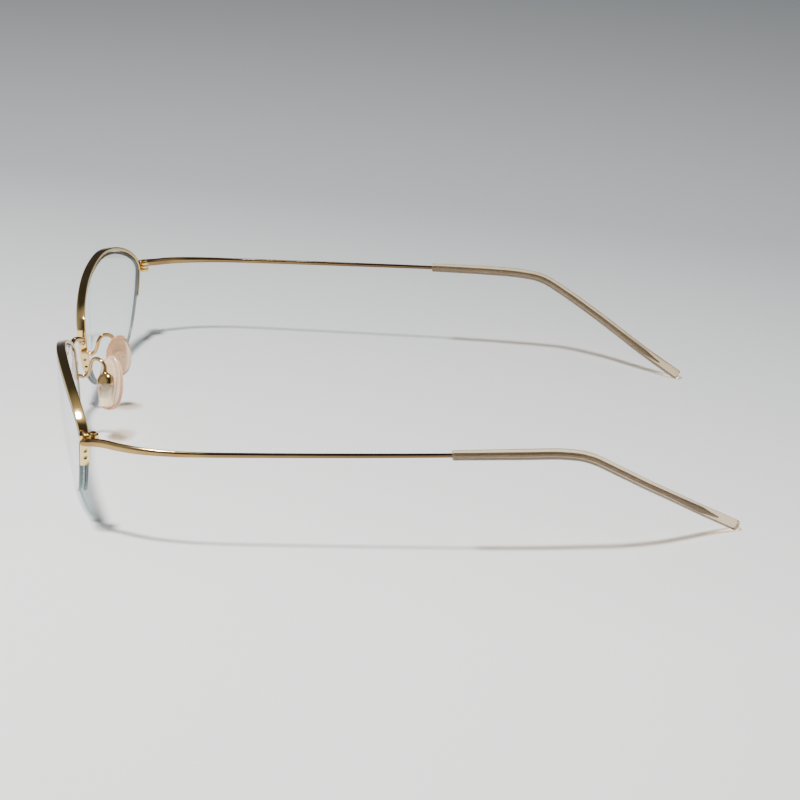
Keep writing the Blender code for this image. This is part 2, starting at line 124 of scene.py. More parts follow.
def finishMesh(name, mesh):
    form = bmesh.new()
    form.from_mesh(mesh)
    bmesh.ops.remove_doubles(form, verts=form.verts, dist=weldDistance)
    bmesh.ops.recalc_face_normals(form, faces=form.faces)
    form.to_mesh(mesh)
    form.free()
    smooth(mesh, skinSharp)
    return link(name, mesh)


def sweep(name, line, ringAt, endRound=0.0, roundStart=True):  # a section carried along a line
    up = Vector((0, 0, 1))
    line = [Vector(p) for p in line]
    frames = []
    for index, here in enumerate(line):
        along = (line[min(index + 1, len(line) - 1)] - line[max(index - 1, 0)]).normalized()
        side = along.cross(up).normalized()
        frames.append((here, along, side, side.cross(along)))
    rows = []

    def addRow(here, side, top, ring, scale=1.0):
        rows.append([here + side * (a * scale) + top * (b * scale) for a, b in ring])

    turns = [(0.25 + 0.75 * math.cos(t), math.sin(t)) for t in (math.radians(d) for d in roundTurns)]
    if endRound and roundStart:
        here, along, side, top = frames[0]
        for scale, far in turns:
            addRow(here - along * endRound * far, side, top, ringAt(0.0, 0), scale)
    for index, (here, along, side, top) in enumerate(frames):
        addRow(here, side, top, ringAt(index / (len(frames) - 1), index))
    if endRound:
        here, along, side, top = frames[-1]
        for scale, far in reversed(turns):
            addRow(here + along * endRound * far, side, top, ringAt(1.0, len(frames) - 1), scale)
    return skin(name, rows)


def lathe(name, profile, matrix, count=40):  # (radius, height), top first, closed on the axis
    rows = []
    for radius, height in profile[1:-1]:
        turns = [2 * math.pi * k / count for k in range(count)]
        rows.append([(radius * math.cos(turn), radius * math.sin(turn), height) for turn in turns])
    obj = skin(name, rows, (0, 0, profile[0][1]), (0, 0, profile[-1][1]))
    obj.data.transform(matrix)
    return obj


def brick(name, low, high, rounding, matrix=None):
    form = bmesh.new()
    bmesh.ops.create_cube(form, size=1.0)
    size, centre = Vector(high) - Vector(low), (Vector(high) + Vector(low)) / 2
    bmesh.ops.scale(form, vec=size * mm, verts=form.verts)
    bmesh.ops.translate(form, vec=centre * mm, verts=form.verts)
    bmesh.ops.bevel(form, geom=form.edges, offset=rounding * mm, segments=3, profile=0.5, affect="EDGES")
    mesh = bpy.data.meshes.new(name)
    form.to_mesh(mesh)
    form.free()
    if matrix is not None:
        mesh.transform(matrix)
    return finishMesh(name, mesh)


def standFlat(obj):  # what would go below the table ends on it
    for point in obj.data.vertices:
        point.co.z = max(point.co.z, 0.0)


def cut(obj, cutters):  # leaves a plain mesh behind
    for other in cutters:
        change = obj.modifiers.new(other.name, "BOOLEAN")
        change.operation, change.solver, change.object = "DIFFERENCE", "EXACT", other
    bpy.context.view_layer.update()
    evaluated = obj.evaluated_get(bpy.context.evaluated_depsgraph_get())
    mesh = bpy.data.meshes.new_from_object(evaluated)
    obj.modifiers.clear()
    obj.data = mesh
    for other in cutters:
        bpy.data.objects.remove(other)
    smooth(mesh, cutSharp)
    return obj


def join(name, pieces):
    form = bmesh.new()
    for piece in pieces:
        form.from_mesh(piece.data)
        bpy.data.objects.remove(piece)
    mesh = bpy.data.meshes.new(name)
    form.to_mesh(mesh)
    form.free()
    smooth(mesh, cutSharp)
    return link(name, mesh)


def mirrored(obj, name):
    mesh = obj.data.copy()
    mesh.transform(Matrix.Diagonal((-1, 1, 1, 1)))
    mesh.flip_normals()
    return link(name, mesh)


def dress(obj, body, materials, stands):
    for material in materials:
        obj.data.materials.append(material)
    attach(obj, body)
    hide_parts(*stands)


def dressBoth(obj, name, body, materials):  # the piece and its mirror image
    other = mirrored(obj, name + "_right_look")
    obj.name = name + "_left_look"
    for piece, side in ((obj, "left"), (other, "right")):
        dress(piece, body.format(side), materials, [f"{name}_{side}"])


class Signal:  # one socket of a node tree, so that sums on it add Math nodes
    def __init__(self, sheet, socket):
        self.sheet, self.socket = sheet, socket

    def __add__(self, other):
        return self.sheet.math("ADD", self, other)

    def __radd__(self, other):
        return self.sheet.math("ADD", other, self)

    def __sub__(self, other):
        return self.sheet.math("SUBTRACT", self, other)

    def __rsub__(self, other):
        return self.sheet.math("SUBTRACT", other, self)

    def __mul__(self, other):
        return self.sheet.math("MULTIPLY", self, other)

    def __rmul__(self, other):
        return self.sheet.math("MULTIPLY", other, self)

    def __pow__(self, other):
        return self.sheet.math("POWER", self, other)

    def __rpow__(self, other):
        return self.sheet.math("POWER", other, self)

    def __abs__(self):
        return self.sheet.math("ABSOLUTE", self)

    def clamped(self):
        return self.sheet.node("ShaderNodeClamp", {}, {"Value": self})

    def part(self, index):  # x, y or z of a vector
        return self.sheet.node("ShaderNodeSeparateXYZ", {}, [self], out=index)


class Sheet:  # the nodes of one material, or of the world
    def __init__(self, name, kind="materials"):
        self.owner = getattr(bpy.data, kind).new(name)
        self.owner.use_nodes = True
        self.tree = self.owner.node_tree
        self.tree.nodes.clear()

    def node(self, kind, settings=None, sockets=None, out=0):
        made = self.tree.nodes.new(kind)
        for key, value in (settings or {}).items():
            setattr(made, key, value)
        pairs = sockets.items() if isinstance(sockets, dict) else enumerate(sockets or ())
        for key, value in pairs:
            if isinstance(value, Signal):
                self.tree.links.new(value.socket, made.inputs[key])
            elif isinstance(value, tuple) and len(value) == 3 and len(made.inputs[key].default_value) == 4:
                made.inputs[key].default_value = (*value, 1.0)
            else:
                made.inputs[key].default_value = value
        return Signal(self, made.outputs[out]) if len(made.outputs) else None

    def math(self, operation, *values):
        return self.node("ShaderNodeMath", {"operation": operation}, values)

    def place(self):
        return self.node("ShaderNodeTexCoord", out=3)

    def noise(self, perMm, detail=3.0, roughness=0.5, where=None):
        return self.node("ShaderNodeTexNoise", {}, {"Vector": where or self.place(), "Scale": perMm / mm,
                                                   "Detail": detail, "Roughness": roughness})

    def stretched(self, scale):
        return self.node("ShaderNodeMapping", {}, {"Vector": self.place(), "Scale": scale})

    def mixed(self, factor, first, second):  # colours
        return self.node("ShaderNodeMix", {"data_type": "RGBA"}, {0: factor, 6: first, 7: second}, out=2)

    def bump(self, height, strength, distance):
        return self.node("ShaderNodeBump", {}, {"Strength": strength, "Distance": distance * mm, "Height": height})

    def edge(self, blend):  # towards 1 where the surface turns away
        return self.node("ShaderNodeLayerWeight", {}, {"Blend": blend}, out=1)

    def surface(self, sockets):
        return self.node("ShaderNodeBsdfPrincipled", {}, sockets)

    def clear(self, tint):
        return self.node("ShaderNodeBsdfTransparent", {}, {"Color": tint})

    def layered(self, factor, under, over):
        return self.node("ShaderNodeMixShader", {}, [factor, under, over])

    def finish(self, shader):
        self.node("ShaderNodeOutputMaterial", {}, {"Surface": shader})
        return self.owner

    def finishOpen(self, shader, tint):  # the lamps shine straight through it
        shadow = self.node("ShaderNodeLightPath", out=1)
        return self.finish(self.layered(shadow, shader, self.clear(tint)))


goldFinish = {
    "colour": (0.80, 0.56, 0.22), "paleColour": (0.89, 0.69, 0.35), "rubbedColour": (0.50, 0.31, 0.12),
    "worn": 0.5, "roughness": 0.07, "smudge": 0.08, "hairlines": 0.06, "grain": 0.012,
}
templeShadedFinish = {  # gold darkened to a dark bronze: painted shade, standing in for the dark room the temples reflect
    "colour": (0.30, 0.18, 0.08), "paleColour": (0.44, 0.30, 0.12), "rubbedColour": (0.16, 0.09, 0.05),
    "farColour": (0.15, 0.095, 0.05),
    "worn": 0.5, "roughness": 0.08, "smudge": 0.08, "hairlines": 0.06, "grain": 0.012,
}
wireShadedFinish = {  # a darker, browner gold: painted shade, standing in for the dark surroundings the thin wires reflect
    "colour": (0.56, 0.36, 0.15), "paleColour": (0.66, 0.45, 0.21), "rubbedColour": (0.34, 0.19, 0.10),
    "worn": 0.5, "roughness": 0.08, "smudge": 0.08, "hairlines": 0.06, "grain": 0.012,
}


def polishedGold(name, look):
    sheet = Sheet(name)
    cloud = sheet.noise(0.12, 4.0)
    fine = sheet.noise(6.0, 5.0, 0.65)
    hairlines = sheet.noise(5.0, 2.0, 0.6, sheet.stretched((9.0, 0.6, 9.0)))
    base = sheet.mixed(((cloud - 0.42) * 3.0).clamped(), look["colour"], look["paleColour"])
    worn = ((fine - 0.62) * 5.0).clamped()
    colour = sheet.mixed(worn * look["worn"], base, look["rubbedColour"])
    if "farColour" in look:  # darker towards the ears
        along = sheet.place().part(1)
        colour = sheet.mixed((along * 22.0 + 1.15).clamped(), colour, look["farColour"])
    smudge = look["smudge"] * ((cloud - 0.45) * 2.5).clamped()
    return sheet.finish(sheet.surface({
        "Base Color": colour, "Metallic": 1.0,
        "Roughness": look["roughness"] + smudge + look["hairlines"] * hairlines * fine,
        "Normal": sheet.bump(hairlines * 0.6 + fine * 0.4, 0.35, look["grain"])}))


steelFinish = {"dull": (0.62, 0.58, 0.50), "bright": (0.80, 0.77, 0.70), "roughness": 0.2}


def brightSteel(name, look):
    sheet = Sheet(name)
    fine = sheet.noise(8.0, 4.0, 0.6)
    return sheet.finish(sheet.surface({
        "Base Color": sheet.mixed(fine, look["dull"], look["bright"]), "Metallic": 1.0,
        "Roughness": look["roughness"] + 0.15 * fine, "Normal": sheet.bump(fine, 0.3, 0.01)}))


lensLook = {
    "body": (0.97, 0.99, 0.99), "haze": (0.94, 0.97, 0.98), "tint": (0.93, 0.95, 0.96), "bend": 1.5, "dust": 0.5,
    # rimDark, rimPale and the low rimClear make the ground edge dark grey: painted shade standing in for internal
    # reflection and the contact shadow; the mottling between them is random tone
    "rimDark": (0.06, 0.09, 0.09), "rimPale": (0.18, 0.24, 0.24), "rimTint": (0.55, 0.62, 0.62), "rimClear": 0.3,
}


def lensGlass(name, look):
    sheet = Sheet(name)
    smear = sheet.noise(0.09, 4.0, 0.55)
    dust = sheet.noise(3.2, 2.0, 0.5)
    specks = ((dust - 0.74) * 9.0).clamped() * look["dust"]
    gloss = sheet.surface({
        "Base Color": sheet.mixed(smear, look["body"], look["haze"]), "Transmission Weight": 1.0,
        "Roughness": 0.01 + 0.03 * ((smear - 0.5) * 3.0).clamped() + 0.2 * specks, "IOR": look["bend"]})
    return sheet.finishOpen(gloss, look["tint"])


def lensGroundEdge(name, look):
    sheet = Sheet(name)
    grind = sheet.noise(4.0, 5.0, 0.7)
    cloud = sheet.noise(0.3, 2.0)
    # the edge's dark grey is painted shade, mottled at random by the cloud
    ground = sheet.surface({
        "Base Color": sheet.mixed(cloud, look["rimDark"], look["rimPale"]), "Transmission Weight": look["rimClear"],
        "Roughness": 0.12 + 0.2 * grind, "IOR": look["bend"], "Normal": sheet.bump(grind, 0.4, 0.02)})
    return sheet.finishOpen(ground, look["rimTint"])


threadLook = {"dull": (0.62, 0.70, 0.70), "pale": (0.84, 0.88, 0.87), "tint": (0.90, 0.94, 0.94), "bend": 1.53}


def nylonThread(name, look):
    sheet = Sheet(name)
    cloud = sheet.noise(1.2, 2.0)
    body = sheet.surface({
        "Base Color": sheet.mixed(cloud, look["dull"], look["pale"]), "Roughness": 0.22 + 0.1 * cloud,
        "IOR": look["bend"]})
    return sheet.finish(sheet.layered(0.24 + 0.1 * cloud, sheet.clear(look["tint"]), body))


padLook = {
    "milky": (0.99, 0.86, 0.68), "peach": (0.99, 0.74, 0.52), "deep": (0.78, 0.24, 0.12), "glow": (0.95, 0.47, 0.26),
    "tint": (0.80, 0.76, 0.71), "clear": 0.97, "bend": 1.41,
}


def siliconePad(name, look):  # deeper in colour where the surface turns away
    sheet = Sheet(name)
    cloud = sheet.noise(0.25, 3.0)
    skinGrain = sheet.noise(5.0, 4.0, 0.6)
    edge = sheet.edge(0.35)
    inner = sheet.mixed(cloud, look["milky"], look["peach"])
    soft = sheet.surface({
        "Base Color": sheet.mixed((edge ** 1.3 * 1.9 - 0.25).clamped(), inner, look["deep"]),
        "Roughness": 0.14 + 0.14 * skinGrain, "IOR": look["bend"], "Transmission Weight": look["clear"],
        "Normal": sheet.bump(skinGrain, 0.2, 0.02)})
    warm = sheet.surface({
        "Base Color": sheet.mixed(cloud, look["deep"], look["glow"]), "Roughness": 0.3 + 0.1 * skinGrain})
    return sheet.finishOpen(sheet.layered((0.06 + 0.75 * edge ** 2.2).clamped(), soft, warm), look["tint"])


insertLook = {
    "cream": (0.93, 0.88, 0.72), "pale": (0.97, 0.94, 0.84), "tint": (0.90, 0.86, 0.78), "clear": 0.8, "bend": 1.46,
}


def clearPlastic(name, look):
    sheet = Sheet(name)
    cloud = sheet.noise(0.6, 2.0)
    plastic = sheet.surface({
        "Base Color": sheet.mixed(cloud, look["cream"], look["pale"]), "Transmission Weight": look["clear"],
        "Roughness": 0.12 + 0.1 * cloud, "IOR": look["bend"]})
    return sheet.finishOpen(plastic, look["tint"])


tipLook = {
    # edge is a dark brown painted along the sleeve's silhouette: painted shade standing in for the dark rims
    # refraction gives a clear sleeve
    "amber": (0.74, 0.58, 0.36), "honey": (0.88, 0.76, 0.55), "edge": (0.20, 0.14, 0.10),
    "tint": (0.60, 0.54, 0.48), "clear": 0.95, "bend": 1.48,
}


def tipAcetate(name, look):
    sheet = Sheet(name)
    cloud = sheet.noise(0.16, 4.0, 0.55)
    streaks = sheet.noise(0.9, 3.0, 0.55, sheet.stretched((4.0, 0.35, 4.0)))
    fine = sheet.noise(4.0, 3.0, 0.6)
    edge = sheet.edge(0.4)
    tone = (streaks * 0.7 + cloud * 0.5 - 0.12).clamped()
    body = sheet.surface({
        "Base Color": sheet.mixed(tone, look["amber"], look["honey"]),
        "Roughness": 0.05 + 0.06 * ((cloud - 0.5) * 2.0).clamped() + 0.04 * fine,
        "IOR": look["bend"], "Transmission Weight": look["clear"], "Normal": sheet.bump(fine, 0.1, 0.01)})
    # painted shade: a dark outline laid where the surface turns away
    shadedOutline = sheet.surface({
        "Base Color": sheet.mixed(cloud, look["edge"], look["amber"]), "Roughness": 0.2 + 0.1 * fine})
    return sheet.finishOpen(sheet.layered((0.05 + 0.8 * edge ** 5.0).clamped(), body, shadedOutline), look["tint"])


gold = polishedGold("polishedGold", goldFinish)
wireGold = polishedGold("wireGold", wireShadedFinish)
templeGold = polishedGold("templeGold", templeShadedFinish)
steel = brightSteel("brightSteel", steelFinish)
lensClear = lensGlass("lensClear", lensLook)
lensEdge = lensGroundEdge("lensGroundEdge", lensLook)
thread = nylonThread("nylonThread", threadLook)
padSoft = siliconePad("padSilicone", padLook)
insertClear = clearPlastic("insertPlastic", insertLook)
tipClear = tipAcetate("tipAcetate", tipLook)
print("materials ready")


lens = {
    "centre": (34.0, -65.76, 13.2), "wrap": 8.5, "tilt": 7.5, "curve": 113.0, "thick": 1.8, "steps": 240,
    "outline": (
        (-24.2, 3.8), (-22.5, 6.6), (-17.9, 8.9), (-11.2, 11.1), (-3.1, 12.5), (5.0, 12.9),
        (13.4, 11.5), (20.6, 8.7), (24.5, 5.4), (24.3, 2.2), (22.0, -2.7), (17.5, -8.0),
        (11.0, -11.8), (2.5, -13.3), (-6.0, -13.3), (-13.0, -11.6), (-19.2, -7.8), (-23.2, -2.4)),
    "shares": (0.06, 0.2, 0.36, 0.52, 0.67, 0.8, 0.9, 0.96),  # the rows of each face, from its middle out
    "grooveRadius": 0.38, "grooveInset": 0.12, "grooveTurns": (-106, -80, -50, -18, 18, 50, 80, 106), "bevel": 0.12,
}


def lensFrame():
    wrap, tilt = math.radians(lens["wrap"]), math.radians(lens["tilt"])
    front = Vector((math.sin(wrap) * math.cos(tilt), -math.cos(wrap) * math.cos(tilt), -math.sin(tilt)))
    side = Vector((0, 0, 1)).cross(front).normalized()
    turn = Matrix((side, front.cross(side), front)).transposed().to_4x4()
    return Matrix.Translation(Vector(lens["centre"]) * mm) @ turn


seat = lensFrame()
ring = splinePoints(lens["outline"], lens["steps"], closed=True)


def onShell(flat, depth):
    return Vector((flat.x, flat.y, math.sqrt((lens["curve"] - depth) ** 2 - flat.length_squared) - lens["curve"]))


def edgeRow(outset, depth):
    row = []
    for index, here in enumerate(ring):
        along = (ring[(index + 1) % len(ring)] - ring[index - 1]).normalized()
        row.append(onShell(here.to_2d() + Vector((-along.y, along.x)) * outset, depth))
    return row


def edgeAt(angle, outset):  # a point of the edge's middle line, by its angle from +X
    row = edgeRow(outset, lens["thick"] / 2)
    ahead = [(math.degrees(math.atan2(point.y, point.x)) - angle) % 360 for point in ring]
    after = min(range(len(row)), key=lambda i: ahead[i])
    before = (after + 1) % len(row)
    return row[after].lerp(row[before], ahead[after] / ((ahead[after] - ahead[before]) % 360))


def edgeRun(start, end, outset):
    row = edgeRow(outset, lens["thick"] / 2)
    turns = [(math.degrees(math.atan2(point.y, point.x)) - start) % 360 for point in ring]
    inside = sorted((turn, i) for i, turn in enumerate(turns) if 0.3 < turn < (end - start) % 360 - 0.3)
    return [edgeAt(start, outset), *(row[i] for _, i in inside), edgeAt(end, outset)]


def edgeStub(angle, outset, reach, forward=0.0):  # starts at the rim and points away from it
    near = edgeAt(angle, outset) + Vector((0, 0, forward))
    far = edgeAt(angle, outset + reach)
    far.z = near.z
    return [seat @ (near * mm) / mm, seat @ (far * mm) / mm]


def makeLens():
    thick, bevel, shares = lens["thick"], lens["bevel"], lens["shares"]
    rows = [[onShell(point.to_2d() * share, 0.0) for point in ring] for share in shares]
    firstEdge = len(rows)
    rows += [edgeRow(-bevel, 0.0), edgeRow(0.0, bevel)]
    radius, inset = lens["grooveRadius"], lens["grooveInset"]
    for degrees in lens["grooveTurns"]:
        turn = math.radians(degrees)
        rows.append(edgeRow(min(-inset - radius * math.cos(turn), 0.0), thick / 2 + radius * math.sin(turn)))
    rows += [edgeRow(0.0, thick - bevel), edgeRow(-bevel, thick)]
    lastEdge = len(rows) - 1
    rows += [[onShell(point.to_2d() * share, thick) for point in ring] for share in reversed(shares)]
    obj = skin("lens_left_look", rows)
    count = len(ring)
    obj.data.transform(seat)
    standFlat(obj)
    for face in obj.data.polygons:
        row = face.index // count
        face.material_index = 1 if firstEdge <= row < lastEdge and face.index < (len(rows) - 1) * count else 0
    dressBoth(obj, "lens", "front", [lensClear, lensEdge])


rim = {
    "gap": 0.18, "thick": 0.8, "depth": 1.9, "corner": 0.24, "ends": (-3.5, 193.0),
    "holes": (3.8, 185.6, 0.2, 190.0), "holeRadius": 0.32, "countersink": 0.45,
    "threadRadius": 0.22, "threadInset": 0.2, "linerGaps": (3.0, 2.0), "cordGap": 2.4,
    "cordEnd": (0.75, 0.3, -0.05),
}
rimOuter = rim["gap"] + rim["thick"]


def makeRim():
    line = edgeRun(*rim["ends"], rim["gap"] + rim["thick"] / 2)
    section = roundedRing(rim["thick"] / 2, rim["depth"] / 2, rim["corner"], 5)
    obj = sweep("half_rim_left_look", line, lambda share, index: section, endRound=0.25)
    bores = []
    for angle in rim["holes"]:
        centre = edgeAt(angle, rim["gap"] + rim["thick"] / 2)
        turn = (centre - edgeAt(angle, 0.0)).to_track_quat("Z", "Y").to_matrix().to_4x4()
        half, size = rim["thick"] / 2, rim["holeRadius"]
        wide = size + rim["countersink"]
        profile = ((0, 1.4), (wide, 1.4), (wide, half + 0.06), (size, half - 0.1), (size, -1.4), (0, -1.4))
        bores.append(lathe("hole", profile, Matrix.Translation(centre * mm) @ turn, 24))
    cut(obj, bores)
    obj.data.transform(seat)
    dressBoth(obj, "half_rim", "front", [gold])


def makeThreads():
    low, high = rim["holes"][:2]
    inset, gap = -rim["threadInset"], rim["cordGap"]
    section = ovalRing(rim["threadRadius"], rim["threadRadius"], 12)
    run = edgeRun(low + rim["linerGaps"][0], high - rim["linerGaps"][1], inset)
    liner = sweep("liner", run, lambda share, index: section, endRound=0.1)
    liner.data.transform(seat)
    dressBoth(liner, "rim_liner", "front", [thread])
    ends = [[edgeAt(angle, outset) for outset in rim["cordEnd"]] for angle in (high, low)]
    route = [*ends[0], *edgeRun(high + gap, low - gap, inset), *reversed(ends[1])]
    cord = sweep("cord", splinePoints(route, 260), lambda share, index: section, endRound=0.1)
    cord.data.transform(seat)
    standFlat(cord)
    dressBoth(cord, "lens_cord", "front", [thread])


makeLens()
makeRim()
makeThreads()
print("lenses and rims ready")


bridge = {
    "angle": 175.5, "radius": 0.58, "flat": 0.9, "solder": 1.45, "solderRun": 0.07,
    "run": ((7.8, -65.7, 15.5), (6.6, -66.2, 16.6), (3.6, -67.1, 17.4), (0.0, -67.3, 17.6)), "rootReach": 0.75,
}
solderSink = 0.06  # how far a wire goes into the rim


def wireRing(look, share, flat=1.0):  # a wire that flares into the solder joint at each end
    near = min(share, 1 - share)
    flare = 1 + (look["solder"] - 1) * max(0.0, 1 - near / look["solderRun"]) ** 2.2
    return ovalRing(look["radius"] * flare, look["radius"] * flat * flare, 24)


def makeBridge():
    root = edgeStub(bridge["angle"], rimOuter - solderSink, bridge["rootReach"])
    half = [*root, *(Vector(p) for p in bridge["run"])]
    whole = half + [Vector((-p.x, p.y, p.z)) for p in reversed(half[:-1])]
    obj = sweep("bridge_look", splinePoints(whole, 121), lambda share, index: wireRing(bridge, share, bridge["flat"]))
    dress(obj, "front", [wireGold], ["bridge"])


pad = {
    "centre": (9.05, -58.3, 12.38), "frontal": 25.0, "splay": 30.0, "length": 11.4, "width": 5.6, "thick": 1.9,
    "softness": 0.5, "insertLength": 9.6, "insertWidth": 3.8, "insertLevels": (-0.45, 0.12), "insertSoftness": 0.35,
    "stemLow": (-0.95, -0.8, 0.7), "stemHigh": (0.8, 0.8, 2.2),
    "blockLow": (-5.0, -1.65, 0.9), "blockHigh": (-0.8, 1.65, 1.95), "blockTaper": 0.16, "blockWall": 0.62,
    "boxLevels": (1.42, 3.05), "boxRadius": 1.9, "boxWall": 0.35, "boxDome": (0.95, 0.8), "boxCut": -0.55,
    "screw": (0.0, 0.0, 1.85), "screwRadius": 0.25,
}
arm = {
    "angle": 180.5, "radius": 0.4, "solder": 1.6, "solderRun": 0.08, "rootReach": 0.6,
    "end": ((3.05, 0.0, 2.4), (2.05, 0.0, 2.25), (1.7, 0.0, 2.2)),
    "run": (
        (8.0, -65.0, 13.3), (7.75, -64.1, 13.1), (7.65, -63.25, 13.6), (7.6, -62.8, 14.8), (7.65, -62.5, 16.1),
        (7.95, -61.95, 17.0), (8.35, -61.2, 17.25), (8.95, -60.35, 17.05), (9.4, -59.8, 16.55)),
}


def padFrame():
    frontal, splay = math.radians(pad["frontal"]), math.radians(pad["splay"])
    along = Vector((-math.sin(frontal), 0, math.cos(frontal)))
    out = Vector((math.cos(frontal), 0, math.sin(frontal)))
    out = out * math.cos(splay) - Vector((0, 1, 0)) * math.sin(splay)
    turn = Matrix((along, out.cross(along), out)).transposed().to_4x4()
    return Matrix.Translation(Vector(pad["centre"]) * mm) @ turn


padSeat = padFrame()


def padOutline(length, width, count=64):
    points = []
    for step, (x, y) in enumerate(ovalRing(length / 2, width / 2, count, 0.85)):
        points.append((x, y * (1 - 0.12 * math.cos(2 * math.pi * step / count))))  # narrower at its upper end
    return points


def pillow(name, length, width, low, high, fullness, matrix):  # a rounded pad between two levels
    outline = padOutline(length, width)
    middle, half = (low + high) / 2, (high - low) / 2
    rows = []
    for degrees in (8, 20, 35, 50, 65, 80, 90, 100, 115, 130, 145, 160, 172):
        turn = math.radians(degrees)
        spread = abs(math.sin(turn)) ** fullness
        height = math.copysign(abs(math.cos(turn)) ** fullness, math.cos(turn))
        rows.append([(x * spread, y * spread, middle + half * height) for x, y in outline])
    obj = skin(name, rows, (0, 0, high), (0, 0, low))
    obj.data.transform(matrix)
    return obj


def makePad():
    half = pad["thick"] / 2
    soft = pillow("pad", pad["length"], pad["width"], -half, half, pad["softness"], padSeat)
    dressBoth(soft, "nose_pad", "pad_{}", [padSoft])
    low, high = (half + level for level in pad["insertLevels"])
    plate = pillow("plate", pad["insertLength"], pad["insertWidth"], low, high, pad["insertSoftness"], padSeat)
    stem = brick("stem", pad["stemLow"], pad["stemHigh"], 0.12, padSeat)
    low, high = pad["blockLow"], pad["blockHigh"]
    foot = brick("block", low, high, 0.22)
    for point in foot.data.vertices:  # narrower at its lower end
        point.co.y *= 1 - pad["blockTaper"] * (high[0] * mm - point.co.x) / ((high[0] - low[0]) * mm)
    wall = pad["blockWall"]
    hollow = brick("hollow", (low[0] + 0.5, low[1] + wall, high[2] - 0.16), (high[0] - 0.6, high[1] - wall, 3.0), 0.1)
    cut(foot, [hollow])
    foot.data.transform(padSeat)
    insert = join("insert", [plate, stem, foot])
    dressBoth(insert, "pad_insert", "pad_{}", [insertClear])


def makeBox():  # half a hollow dome, open towards the pad's lower end
    low, high = pad["boxLevels"]
    r, wall = pad["boxRadius"], pad["boxWall"]
    outer, inner = pad["boxDome"]
    turns = [math.radians(d) for d in range(8, 91, 8)]
    profile = [(0.0, high)]
    profile += [(r * math.sin(t) ** 0.85, high - outer * (1 - math.cos(t))) for t in turns]
    profile += [(r, low + 0.1), (r - 0.06, low), (r - wall + 0.06, low), (r - wall, low + 0.1)]
    profile += [((r - wall) * math.sin(t) ** 0.85, high - wall - inner * (1 - math.cos(t))) for t in reversed(turns)]
    profile.append((0.0, high - wall))
    x, y, z = pad["screw"]
    box = lathe("box", profile, Matrix.Translation(Vector((x, 0, 0)) * mm), 64)
    cut(box, [brick("boxCut", (-6, -6, -2), (pad["boxCut"], 6, 6), 0.01)])
    box.data.transform(padSeat)
    dressBoth(box, "pad_box", "front", [wireGold])

    size, length = pad["screwRadius"], r * 0.99
    side = Matrix.Translation(Vector((x, y, z)) * mm) @ Matrix.Rotation(math.pi / 2, 4, "X")
    profile = ((0, length), (size * 0.7, length), (size, length - 0.08), (size, -length + 0.08),
               (size * 0.7, -length), (0, -length))
    screw = lathe("padScrew", profile, padSeat @ side, 20)
    slotted = brick("slot", (-0.05, -1, length - 0.12), (0.05, 1, length + 1), 0.01, padSeat @ side)
    dressBoth(cut(screw, [slotted]), "pad_screw", "front", [steel])


def makeArm():
    end = [padSeat @ (Vector(p) * mm) / mm for p in arm["end"]]
    root = edgeStub(arm["angle"], rimOuter - solderSink, arm["rootReach"])
    route = [*root, *(Vector(p) for p in arm["run"]), *end]
    obj = sweep("arm", splinePoints(route, 150), lambda share, index: wireRing(arm, share))
    dressBoth(obj, "pad_arm", "front", [wireGold])


makeBridge()
makePad()
makeBox()
makeArm()
print("bridge and pads ready")


hinge = {
    "axis": (60.0, -57.0), "levels": (17.0, 17.75, 18.55, 19.3), "radius": 1.05, "gap": 0.05, "rounding": 0.12,
    "screwRadius": 0.42, "headRadius": 0.68, "headHigh": 0.35, "slotTurn": 35, "slotDepth": 0.2,
}


def knuckle(name, low, high):
    x, y = hinge["axis"]
    r, b = hinge["radius"], hinge["rounding"]
    profile = ((0, high), (r - b, high), (r - b * 0.3, high - b * 0.3), (r, high - b), (r, low + b),
               (r - b * 0.3, low + b * 0.3), (r - b, low), (0, low))
    return lathe(name, profile, Matrix.Translation(Vector((x, y, 0)) * mm), 40)


def makeHinge():
    x, y = hinge["axis"]
    bottom, lower, upper, top = hinge["levels"]
    ears = [knuckle("ear", bottom, lower), knuckle("ear", upper, top)]
    arms = [brick("earArm", (x - 0.6, y - 1.4, low), (x + 0.6, y, high), 0.06)
            for low, high in ((bottom, lower), (upper, top))]
    spine = brick("spine", (x - 0.7, y - 1.65, bottom), (x + 0.7, y - 1.15, top), 0.12)
    foot = brick("spineFoot", (x - 1.2, y - 2.0, bottom + 0.3), (x + 0.5, y - 1.5, top - 0.3), 0.12)
    dressBoth(join("front", [*ears, *arms, spine, foot]), "hinge_front", "front", [gold])
    middle = knuckle("middle", lower + hinge["gap"], upper - hinge["gap"])
    leaf = brick("leaf", (x + 0.2, y - 0.2, lower + hinge["gap"]), (x + 1.8, y + 0.9, upper - hinge["gap"]), 0.08)
    dressBoth(join("middle", [middle, leaf]), "hinge_temple", "temple_{}", [gold])
    r, high, size = hinge["headRadius"], top + hinge["headHigh"], hinge["screwRadius"]
    profile = ((0, high), (r * 0.72, high), (r * 0.93, high - 0.06), (r, high - 0.18), (r, top + 0.06),
               (r - 0.05, top + 0.02), (size, top + 0.02), (size, bottom - 0.06), (size - 0.06, bottom - 0.1),
               (0, bottom - 0.1))
    screw = lathe("screw", profile, Matrix.Translation(Vector((x, y, 0)) * mm), 36)
    turn = Matrix.Translation(Vector((x, y, 0)) * mm) @ Matrix.Rotation(math.radians(hinge["slotTurn"]), 4, "Z")
    slotted = brick("slot", (-1, -0.11, high - hinge["slotDepth"]), (1, 0.11, high + 1), 0.01, turn)
    dressBoth(cut(screw, [slotted]), "hinge_screw", "front", [gold])


endPiece = {
    "angle": 11.0, "sink": 0.08, "rootReach": 0.6, "forward": 0.5, "halfWide": 0.38, "halfHigh": 0.78, "corner": 0.2,
    "run": ((60.4, -59.25, 18.55), (60.95, -59.05, 18.4), (61.05, -58.75, 18.35)), "flare": 0.12, "flareRun": 0.2,
}


